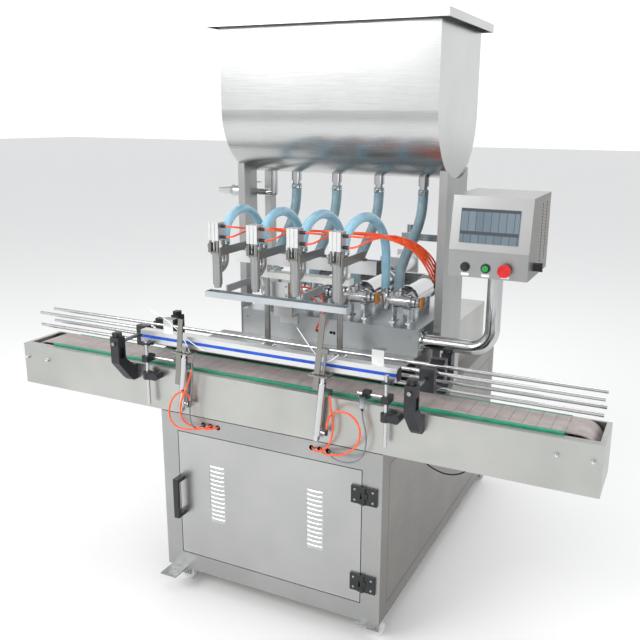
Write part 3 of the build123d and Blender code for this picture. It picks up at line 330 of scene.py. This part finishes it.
def near(x, y, x0, y0, r):
    return np.hypot(x - x0, y - y0) < r


paint("cabinet_front_frame", "sheet_z")
# the cabinet's side panels and its chassis take the darker side sheet, which is painted shade
paint("cabinet_panels", "side", ("sheet", lambda x, y, z: (y > 1285) & (abs(x) < 392)),
      ("black", lambda x, y, z: (y > 1296) & (x < -310)))
paint("cabinet_chassis", "side")
paint("base_plates", "satin")
paint("door_hinge_leaves", "black_metal")
paint("cabinet_door", "door", ("black_metal", lambda x, y, z: (y < 2.6) & ((x > 295) | (x < -310))))
for side in ("left", "right"):
    paint(f"front_{side}_fork", "satin")
    paint(f"front_{side}_wheel", "nylon")
    paint(f"rear_{side}_wheel", "nylon")
    paint(f"{side}_stop_gate", "bracket")
paint("conveyor_frame", "sheet", ("motor", lambda x, y, z: (y > 175.3) & (x > 540) & (x < 700)),
      ("black", lambda x, y, z: z < 642.9))
# the conveyor bed takes the darker side sheet, which is painted shade
paint("conveyor_bed", "side")
paint("edge_strips", "green")
paint("slat_chain", "chain")
paint("drive_shaft", "satin")
paint("idler_shaft", "satin")
paint("fasteners", "polished")
paint("guide_rails", "polished")
paint("rail_brackets", "black")
paint("rail_clamps", "black",
      ("satin", lambda x, y, z: (abs(z - 878) < 6.5) & ((y < 45) | (y > 175))))
paint("stop_carrier", "aluminium", ("bracket", lambda x, y, z: (y > 38.2) | (z < 865.9)),
      ("blue", lambda x, y, z: (y > 9) & (y < 13.5) & (abs(z - 886) < 5.5) & (x < 429)),
      ("black", lambda x, y, z: x > 430.2))
paint("rod_clamps", "black",
      ("polished", lambda x, y, z: near(x, y, -424, -24, 6.3) | near(x, y, 414, -24, 6.3)
       | near(y, z, -4, 822, 5.3)))
paint("stop_cylinders", "polished",
      ("black", lambda x, y, z: ((x > -269) & (x < -200)) | (x > 221)))
paint("photo_eye", "black", ("grey", lambda x, y, z: (z < 810) & (z > 787)))
# the front deck takes the darker side sheet, which is painted shade
paint("front_deck", "side")
paint("rear_housing", "sheet")
paint("valve_base", "mill")
paint("hopper", "hopper")
paint("product_pipework", "polished")
paint("hopper_stands", "sheet_z")
paint("drain_lever", "satin")
paint("valve_bodies", "polished")
paint("valve_spindles", "polished",
      ("amber", lambda x, y, z: np.minimum.reduce([abs(x - c - 74) for c in (-220, -58, 104, 266)]) < 3))
paint("unit_mounts", "polished")
paint("product_cylinders", "polished")
paint("piston_carriage", "satin")
paint("drive_cylinders", "aluminium", ("polished", lambda x, y, z: (z < 840) & (y < 320)))
paint("lift_frame", "sheet_z", ("beam", lambda x, y, z: (z > 1065.9) & (y < 299)))
paint("head_profile", "aluminium",
      ("blue", lambda x, y, z: (z > 1149) & (z < 1155) & (abs(y - 263) < 5.5) & (x < 261)),
      ("black", lambda x, y, z: x > 262.2))
paint("head_brackets", "bracket")
paint("filling_tubes", "sheet_z")
paint("head_plungers", "polished")
HEADS = [-222.5, -81.5, 59.5, 200.5]
UNITS = [-220.0, -58.0, 104.0, 266.0]


def off_head(x, low, high):
    """True where x is between low and high past one of the heads."""
    return np.logical_or.reduce([(x - h > low) & (x - h < high) for h in HEADS])


paint("head_cylinders", "aluminium", ("black", lambda x, y, z: off_head(x, 19.1, 40)))
paint("drip_tray", "mill")
# the box's right face (x > 719) takes the darker side sheet, which is painted shade on that face
paint("control_box", "sheet_z",
      ("side", lambda x, y, z: x > 719),
      ("satin", lambda x, y, z: z < 1129.9),
      ("black", lambda x, y, z: (y < 285) & (z < 1185)))
paint("touch_screen", "black", ("screen", lambda x, y, z: (x > 520) & (x < 676) & (z > 1239) & (z < 1325)))
paint("stop_button", "black")
paint("start_button", "green_button")
paint("emergency_stop", "red", ("black", lambda x, y, z: y > 273.5))
paint("selector_switch", "black")
paint("control_arm", "polished")
paint("air_unit", "black", ("hopper", lambda x, y, z: (z > 1159.5) & (x < 384.7)),
      ("bowl", lambda x, y, z: (z < 1159.5) & (y > 610) & (x < 260)))
print("painted", len(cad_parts), "nodes")

# %% [markdown]
# ## Routes
# A hose or line follows a smooth NURBS curve through its route's control points.

# %% Route tools
def route_curve(name, points, bevel=0.0):
    """A NURBS curve of order 3 that starts and ends on the route's end points."""
    data = bpy.data.curves.new(name, "CURVE")
    data.dimensions = "3D"
    data.resolution_u = 10
    spline = data.splines.new("NURBS")
    spline.points.add(len(points) - 1)
    spline.points.foreach_set("co", np.c_[mm(points), np.ones(len(points))].ravel())
    spline.order_u = 3
    spline.use_endpoint_u = True
    if bevel:
        data.bevel_depth = bevel
        data.bevel_resolution = 3
        data.use_fill_caps = True
    obj = bpy.data.objects.new(name, data)
    bpy.context.scene.collection.objects.link(obj)
    return obj


def route_points(name, points):
    """The curve's own points, evenly spaced, from its evaluated line."""
    obj = route_curve(name + "_line", points)
    line = bpy.data.meshes.new_from_object(obj)
    co = np.zeros(len(line.vertices) * 3)
    line.vertices.foreach_get("co", co)
    co = co.reshape(-1, 3)
    bpy.data.meshes.remove(line)
    bpy.data.curves.remove(obj.data)
    return co


def spaced(path, step):
    """The path resampled at equal steps of length."""
    d = np.r_[0, np.cumsum(np.linalg.norm(np.diff(path, axis=0), axis=1))]
    s = np.linspace(0, d[-1], max(8, int(round(d[-1] / step)) + 1))
    return np.stack([np.interp(s, d, path[:, i]) for i in range(3)], -1), s


def grid_piece(name, grid, material, body, wrap=True, smooth=True):
    """A mesh from a grid of points (along, around, 3)."""
    n, m = grid.shape[:2]
    i, j = np.meshgrid(np.arange(n - 1), np.arange(m if wrap else m - 1), indexing="ij")
    k = (j + 1) % m
    quads = np.stack([i * m + j, i * m + k, (i + 1) * m + k, (i + 1) * m + j], -1).reshape(-1, 4)
    return mesh_piece(name, grid.reshape(-1, 3), quads, material, body, smooth)


def mesh_piece(name, verts, quads, material, body, smooth=True):
    """A mesh object from arrays, with one material, riding on a body unless body is None."""
    data = bpy.data.meshes.new(name)
    data.from_pydata(np.asarray(verts).tolist(), [], np.asarray(quads).tolist())
    data.polygons.foreach_set("use_smooth", np.full(len(data.polygons), smooth))
    data.materials.append(MAT[material])
    obj = bpy.data.objects.new(name, data)
    bpy.context.scene.collection.objects.link(obj)
    if body:
        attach(obj, body)
    return obj


def tube_grid(path, radius, around=20):
    """Rings of points along a path: ring i is centre_i + r_i (cos t n_i + sin t b_i),
    where n_i is a fixed side direction made square to the path."""
    t = np.gradient(path, axis=0)
    t /= np.linalg.norm(t, axis=1, keepdims=True)
    side = np.cross(t, (0.31, 0.0, 0.95) if abs(t[0, 2]) < 0.9 else (1.0, 0.0, 0.0))
    n = np.empty_like(t)
    n[0] = side[0] / np.linalg.norm(side[0])
    for k in range(1, len(t)):
        v = n[k - 1] - t[k] * (n[k - 1] @ t[k])
        n[k] = v / np.linalg.norm(v)
    b = np.cross(t, n)
    a = np.linspace(0, 2 * np.pi, around, endpoint=False)
    r = np.broadcast_to(np.asarray(radius, float), (len(path),))[:, None, None]
    ring = np.cos(a)[None, :, None] * n[:, None] + np.sin(a)[None, :, None] * b[:, None]
    return path[:, None] + r * ring


# %% [markdown]
# ## Hoses
# The feed hoses have a steel wire wound in their wall, so the radius ripples along the length:
# `r(s) = R - d + d cos(2 pi s / p)`, where p is the wire's pitch.

# %% Feed hoses
def feed_route(cx):
    return [(cx + 28, 577, 1352), (cx + 28, 577, 1292), (cx + 20, 564, 1232), (cx + 5, 540, 1174),
            (cx - 7, 506, 1122), (cx - 12, 474, 1075), (cx - 12, 474, 1019.4)]


for k, cx in enumerate(UNITS, 1):
    path, s = spaced(route_points("feed", feed_route(cx)), 0.0011)
    ripple = 0.0174 + 0.0006 * np.cos(2 * np.pi * s / 0.0055)
    hose = grid_piece(f"feed_hose_{k}", tube_grid(path, ripple, 28), "ribbed_hose", "machine_frame")
    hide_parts("feed_hoses")
print("feed hoses", len(UNITS))


# %% [markdown]
# The nozzle hoses are clear PVC with fine ribs. They bend when the heads rise.

# %% Nozzle hoses
def nozzle_route(x, cx):
    side = cx - 64 - x
    steps = [(0.0, 147, 1188), (0.0, 147, 1222), (0.08, 172, 1258), (0.25, 222, 1279),
             (0.45, 284, 1288), (0.62, 346, 1280), (0.78, 408, 1254), (0.9, 456, 1212),
             (0.98, 482, 1160), (1.0, 485, 1105), (1.0, 484, 1060), (1.0, 484, 1012.4)]
    return [(x + side * t, y, z) for t, y, z in steps]


for k, (x, cx) in enumerate(zip(HEADS, UNITS), 1):
    path, s = spaced(route_points("arch", nozzle_route(x, cx)), 0.002)
    ripple = 0.0148 + 0.0002 * np.cos(2 * np.pi * s / 0.006)
    hose = grid_piece(f"nozzle_hose_{k}", tube_grid(path, ripple, 28), "clear_hose", None)
    at(x, 470, 1250)
    at(x, 160, 1250)
    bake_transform(hose)
    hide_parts("nozzle_hoses")
print("nozzle hoses", len(HEADS))

# %% [markdown]
# ## Air lines and cables
# Two lines run from each head to the valve manifold. Each gate has two, and there are two
# sensor cables and one cable under the conveyor.

# %% Head air lines
FITTING_Z = (1220.0, 1254.0)


def air_route(head, port):
    """Out of the fitting, back under the arches, along, and down to the manifold."""
    x = HEADS[head] + 35.2
    z = FITTING_Z[port]
    lane = 2 * head + port
    y = 206 + 9 * lane
    points = [(x, 99, z), (x + 22, 99, z), (x + 38, 148, 1236 + 9 * port)]
    goal = (290.0, 300.0 + 9 * lane, 1222.0)
    span = goal[0] - (x + 60)
    count = max(1, round(span / 72))
    t = np.arange(count) / count
    run = np.c_[x + 60 + span * t, y + (goal[1] - y) * t * t, 1238 + 5 * np.sin(np.pi * t) - 10 * t * t]
    end = (368.0 + 10 * port, 519.6, 1046.0 + 18 * head)
    drop = goal[2] - end[2]
    points += run.tolist() + [goal, (336, 388 + 6 * lane, goal[2] - 0.25 * drop),
                              (end[0] - 8, 462 + 3 * lane, goal[2] - 0.68 * drop),
                              (end[0], end[1] - 16, end[2]), end]
    return points


def length_of(path):
    return float(np.linalg.norm(np.diff(path, axis=0), axis=1).sum())


for head in range(4):
    for port in range(2):
        points = air_route(head, port)
        path, s = spaced(route_points("air", points), 0.004)
        name = f"head_air_line_{head + 1}_{port + 1}"
        line = grid_piece(name, tube_grid(path, 0.003, 12), "orange", None)
        at(0, 470, 1200)
        at(0, 150, 1200)
        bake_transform(line)
        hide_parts("head_air_tubes")

# %% [markdown]
# The gate and lift lines and the sensor cables are round curves with a bevel, which stay smooth at
# any distance.

# %% Gate lines and cables
LINES = {
    "gate_line_1": (3.0, "orange", [(-252.2, -20, 811.4), (-254.3, -20, 791), (-266, -32, 748),
                    (-284, -38, 704), (-291, -38, 662), (-282, -32, 628), (-248, -18, 612),
                    (-190, -16, 613), (-174, 8, 616)]),
    "gate_line_2": (3.0, "orange", [(-263.7, -20, 701), (-261.6, -20, 721), (-281, -38, 738),
                    (-308, -41, 718), (-330, -35, 686), (-342, -30, 650), (-334, -28, 616),
                    (-304, -25, 600), (-262, -21, 602), (-218, -15, 611), (-202, 8, 616)]),
    "gate_line_3": (3.0, "orange", [(237.8, -20, 805.4), (235.7, -20, 785), (248, -24, 738),
                    (251, -27, 696), (242, -25, 658), (222, -24, 630), (181, -15, 612),
                    (165, 8, 616)]),
    "gate_line_4": (3.0, "orange", [(226.3, -20, 695), (228.4, -20, 715), (240, -30, 748),
                    (270, -35, 768), (306, -35, 766), (334, -34, 742), (342, -32, 706),
                    (330, -30, 668), (300, -26, 638), (262, -23, 620), (209, -15, 612),
                    (193, 8, 616)]),
    "lift_line_1": (3.0, "orange", [(-79.6, 320, 1008), (-60, 320, 1011), (-36, 319, 1014),
                    (-14, 327, 1008), (10, 339, 988), (23, 350, 952), (12, 361, 906),
                    (-9, 372, 874), (-13, 382, 866), (-13, 396, 864)]),
    "lift_line_2": (3.0, "orange", [(-79.6, 330, 1030), (-56, 330, 1030), (-18, 330, 1031),
                    (14, 337, 1020), (32, 346, 990), (32, 354, 944), (18, 366, 900),
                    (3, 376, 875), (0, 384, 868), (0, 398, 866)]),
    "gate_sensor_cable": (2.2, "cable", [(-250, 7.9, 856), (-243, -30, 842), (-238, -34, 800),
                          (-244, -34, 750), (-252, -34, 700), (-256, -33, 654), (-252, -30, 622),
                          (-240, -22, 606), (-230, 8, 616)]),
    "photo_eye_cable": (2.2, "cable", [(341, -22, 775.6), (342, -22, 752), (354, -24, 718),
                        (358, -27, 676), (350, -29, 640), (326, -27, 614), (284, -23, 602),
                        (237, -16, 607), (221, 8, 616)]),
    "frame_cable": (2.2, "black_cable", [(398.4, 150, 603), (426, 150, 603), (464, 154, 578),
                    (500, 155, 554), (545, 152, 544), (590, 150, 555), (624, 150, 587),
                    (634, 150, 620), (634, 150, 642.6)]),
}
for name, (r, material, points) in LINES.items():
    cord = route_curve(name, points, r / 1000)
    cord.data.materials.append(MAT[material])
    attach(cord, "machine_frame")
    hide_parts("machine_lines")
    at(*points[0])
    length_of(route_points(name, points))
print("lines", 8 + len(LINES))

# %% [markdown]
# ## Small parts that catch the light
# Bolts, clamps, ferrules and fittings are surfaces of revolution: a profile of (radius, height)
# turned round an axis. Many equal ones share one mesh.

# %% Turned parts
def axis_frame(axis):
    """Two directions square to an axis, and the axis itself."""
    w = np.asarray(axis, float)
    w /= np.linalg.norm(w)
    u = np.cross(w, (0, 1, 0) if abs(w[1]) < 0.9 else (1, 0, 0))
    u /= np.linalg.norm(u)
    return u, np.cross(w, u), w


def turned(name, profile, centres, axis, material, body, around=24, sides=None):
    """P(h, t) = centre + r(h) (cos t u + sin t v) + h w for each centre; sides makes it a polygon."""
    u, v, w = axis_frame(axis)
    a = np.linspace(0, 2 * np.pi, sides or around, endpoint=False)
    r, h = np.asarray(profile, float).T / 1000
    ring = np.cos(a)[:, None] * u + np.sin(a)[:, None] * v
    shape = r[:, None, None] * ring[None] + h[:, None, None] * w
    m = len(a)
    c = mm(centres)
    verts = (c[:, None, None] + shape[None]).reshape(-1, 3)
    i, j, k = np.meshgrid(np.arange(len(c)), np.arange(len(r) - 1), np.arange(m), indexing="ij")
    first = (i * len(r) + j) * m
    nxt = (k + 1) % m
    quads = np.stack([first + k, first + nxt, first + m + nxt, first + m + k], -1).reshape(-1, 4)
    return mesh_piece(name, verts, quads, material, body, sides is None)


SCREW = [(0.01, 2.2), (2.0, 2.2), (3.2, 1.6), (3.9, 0.6), (4.1, 0.0)]
FRAME = "machine_frame"
hinge_screws = [(x, -4.1, z + dz) for z in (202, 498) for x in (313, 372) for dz in (-17, 17)]
turned("hinge_screws_fixed", SCREW, [p for p in hinge_screws if p[0] > 343], (0, -1, 0), "satin", FRAME)
turned("hinge_screws_door", SCREW, [p for p in hinge_screws if p[0] < 343], (0, -1, 0), "satin", "door")
cover_screws = [(377, 807, 639.2), (354, 1081, 639.2), (-377, 807, 639.2), (-354, 1081, 639.2)]
turned("cover_screws", SCREW, cover_screws, (0, 0, 1), "satin", FRAME)
deck_screws = [(-32, 295, 820.2), (18, 291, 820.2), (-350, 230, 820.2), (310, 230, 820.2)]
turned("deck_screws", SCREW, deck_screws, (0, 0, 1), "satin", FRAME)
base_screws = [(x, 389.8, 886) for x in (-296, -90, 330)]
turned("base_screws", SCREW, base_screws, (0, -1, 0), "satin", FRAME)
cylinder_screws = [(x, 302.9, z) for x in (-158, -87) for z in (1000, 1031)]
turned("lift_cylinder_screws", SCREW, cylinder_screws, (0, -1, 0), "satin", FRAME)
flange_screws = [(px + 18 * c, 278 + 18 * s, 827.1) for px in (-146, 127)
                 for c, s in ((0.7, 0.7), (-0.7, 0.7), (0.7, -0.7), (-0.7, -0.7))]
turned("flange_screws", [(0.01, 2.6), (2.4, 2.6), (3.0, 2.0), (3.0, 0.0)], flange_screws, (0, 0, 1),
       "satin", FRAME)

# %% [markdown]
# Worm-drive clamps hold each hose on its spigot: a thin band with rolled edges and a screw housing.

# %% Hose clamps
def band(name, centres, r, axis, body):
    """A clamp band 9 mm wide whose edges curl out a little."""
    profile = [(r, -4.6), (r + 1.2, -4.8), (r + 0.9, -3.6), (r + 0.9, 3.6), (r + 1.2, 4.8), (r, 4.6)]
    return turned(name, profile, centres, axis, "polished", body, 32)


def clamp_screws(name, centres, body):
    """The screw housings: short rounded barrels lying across the front of each band."""
    profile = [(0.01, -8), (3.2, -8), (3.9, -7), (3.9, 3), (3.1, 4), (3.1, 7.6), (2.2, 8.4), (0.01, 8.4)]
    return turned(name, profile, centres, (1, 0, 0), "satin", body, 16)


tops = [(cx + 28, 577, 1342) for cx in UNITS]
ports = [(cx - 12, 474, 1027) for cx in UNITS]
tails = [(cx - 64, 484, 1020) for cx in UNITS]
band("outlet_clamps", tops, 18.1, (0, 0, 1), FRAME)
clamp_screws("outlet_clamp_screws", [(x, y - 22, z) for x, y, z in tops], FRAME)
band("port_clamps", ports, 18.1, (0, 0, 1), FRAME)
clamp_screws("port_clamp_screws", [(x, y - 22, z) for x, y, z in ports], FRAME)
band("tail_clamps", tails, 15.1, (0, 0, 1), FRAME)
clamp_screws("tail_clamp_screws", [(x, y - 19, z) for x, y, z in tails], FRAME)
band("head_clamps", [(x, 147, 1196) for x in HEADS], 15.1, (0, 0, 1), "lift")

# %% [markdown]
# ## Louvre hoods
# A hood stands over each slot of the door: a pressed half-lens that is closed above and open below.
# One half-lens is worked out and copied to each slot by adding its centre.

# %% Louvre hoods
def louvre_hoods(centres, w, h, depth):
    """x = w/2 u, z = h (1/2 - v), y = -depth v^0.6 (1 - u^4)^0.5 over u in -1..1, v in 0..1."""
    u = np.linspace(-1, 1, 25)[None, :]
    v = np.linspace(0, 1, 9)[:, None]
    y = -depth * v ** 0.6 * np.sqrt(1 - u ** 4)
    shape = np.stack([w / 2 * u + 0 * v, y, h * (0.5 - v) + 0 * u], -1) / 1000
    verts = mm(centres)[:, None, None] + shape[None]
    i, j, k = np.meshgrid(np.arange(len(centres)), np.arange(8), np.arange(24), indexing="ij")
    a = (i * 9 + j) * 25 + k
    quads = np.stack([a, a + 25, a + 26, a + 1], -1).reshape(-1, 4)
    return mesh_piece("louvre_hoods", verts.reshape(-1, 3), quads, "hopper", "door")


LOUVRE_PITCH = 15.6
hood_places = [(left + 28, 2.9, 282.5 + LOUVRE_PITCH * row) for left in (-211, 149) for row in range(13)]
louvre_hoods(hood_places, 60, 11.5, 5.0)
print("hoods", len(hood_places))

# %% [markdown]
# The white nylon ties that hold the lines were left long. Each is a thin tube along a route.

# %% Cable ties
TIES = {
    "left_long_tie": [(-453, 40, 967), (-390, 26, 955), (-320, 6, 925), (-262, -8, 894), (-208, -10, 874)],
    "left_short_tie": [(-300, -6, 930), (-282, -12, 902), (-268, -14, 880), (-262, -12, 862)],
    "right_long_tie": [(124, -10, 992), (146, -14, 968), (170, -16, 940), (193, -12, 914)],
    "right_short_tie": [(262, -14, 930), (244, -16, 914), (224, -14, 902), (206, -12, 892)],
}
for name, points in TIES.items():
    path, s = spaced(route_points(name, points), 0.006)
    grid_piece(name, tube_grid(path, 0.0013, 8), "white", FRAME)
print("ties", len(TIES))

# %% [markdown]
# ## Control panel details
# Blank nameplates sit under the buttons. No lettering is made.

# %% Panel plates
def rounded_plate(name, centre, w, h, thick, r, material, body):
    """A plate in the XZ plane. Its outline is a circle of radius r whose quarters are pushed out to the
    corners: x = +-(w/2 - r) + r cos t, z = +-(h/2 - r) + r sin t. Rings of it make the edge and face."""
    t = np.linspace(0, 2 * np.pi, 48, endpoint=False)
    cx = np.sign(np.cos(t)) * (w / 2 - r) + r * np.cos(t)
    cz = np.sign(np.sin(t)) * (h / 2 - r) + r * np.sin(t)
    rings = [(1.0, 0.0), (1.0, -thick * 0.7), (0.985, -thick), (0.01, -thick)]
    grid = np.stack([np.c_[cx * k, np.full(48, d), cz * k] for k, d in rings])
    return grid_piece(name, grid / 1000 + mm(centre), material, body, True, False)


for k, x in enumerate((534, 596, 655), 1):
    rounded_plate(f"button_plate_{k}", (x, 284.9, 1138), 24, 8, 0.6, 1.5, "white", "control")

# %% [markdown]
# ## Studio
# A plain pale floor, a light surround and three soft lamps.

# %% Studio
def soft_lamp(name, location, target, size, power):
    """A rectangular area lamp at a place, turned to face its target."""
    data = bpy.data.lights.new(name, "AREA")
    data.shape = "RECTANGLE"
    data.size, data.size_y = size
    data.energy = power
    lamp = bpy.data.objects.new(name, data)
    lamp.location = location
    direction = Vector(target) - Vector(location)
    lamp.rotation_euler = direction.to_track_quat("-Z", "Y").to_euler()
    bpy.context.scene.collection.objects.link(lamp)


soft_lamp("key_lamp", (-2.6, -4.2, 3.6), (0, 0, 1.0), (3.0, 2.4), 150)
soft_lamp("fill_lamp", (3.8, -2.6, 2.2), (0.2, 0, 0.9), (2.0, 2.6), 30)
soft_lamp("top_lamp", (0.4, 0.4, 4.6), (0, 0, 1.0), (3.2, 3.2), 70)

world = bpy.data.worlds.new("studio")
world.use_nodes = True
sky = world.node_tree
ray = node(sky, "ShaderNodeTexCoord")
parts = node(sky, "ShaderNodeSeparateXYZ")
ramp = node(sky, "ShaderNodeValToRGB")
sky.links.new(ray.outputs["Generated"], parts.inputs["Vector"])
sky.links.new(parts.outputs["Z"], ramp.inputs["Fac"])
ramp.color_ramp.elements[0].position = 0.42
ramp.color_ramp.elements[0].color = (1, 1, 1, 1)
ramp.color_ramp.elements[1].position = 0.85
ramp.color_ramp.elements[1].color = (0.42, 0.43, 0.45, 1)
sky.links.new(ramp.outputs["Color"], sky.nodes["Background"].inputs["Color"])
sky.nodes["Background"].inputs["Strength"].default_value = 1.15
bpy.context.scene.world = world
bpy.context.scene.view_settings.view_transform = "Standard"

floor_data = bpy.data.meshes.new("floor")
floor_data.from_pydata([(-40, -40, 0), (40, -40, 0), (40, 40, 0), (-40, 40, 0)], [], [(0, 1, 2, 3)])
floor = bpy.data.objects.new("floor", floor_data)
floor_material = base_material("studio_floor", "#f6f6f5", 0.6)[0]
floor_data.materials.append(floor_material)
bpy.context.scene.collection.objects.link(floor)
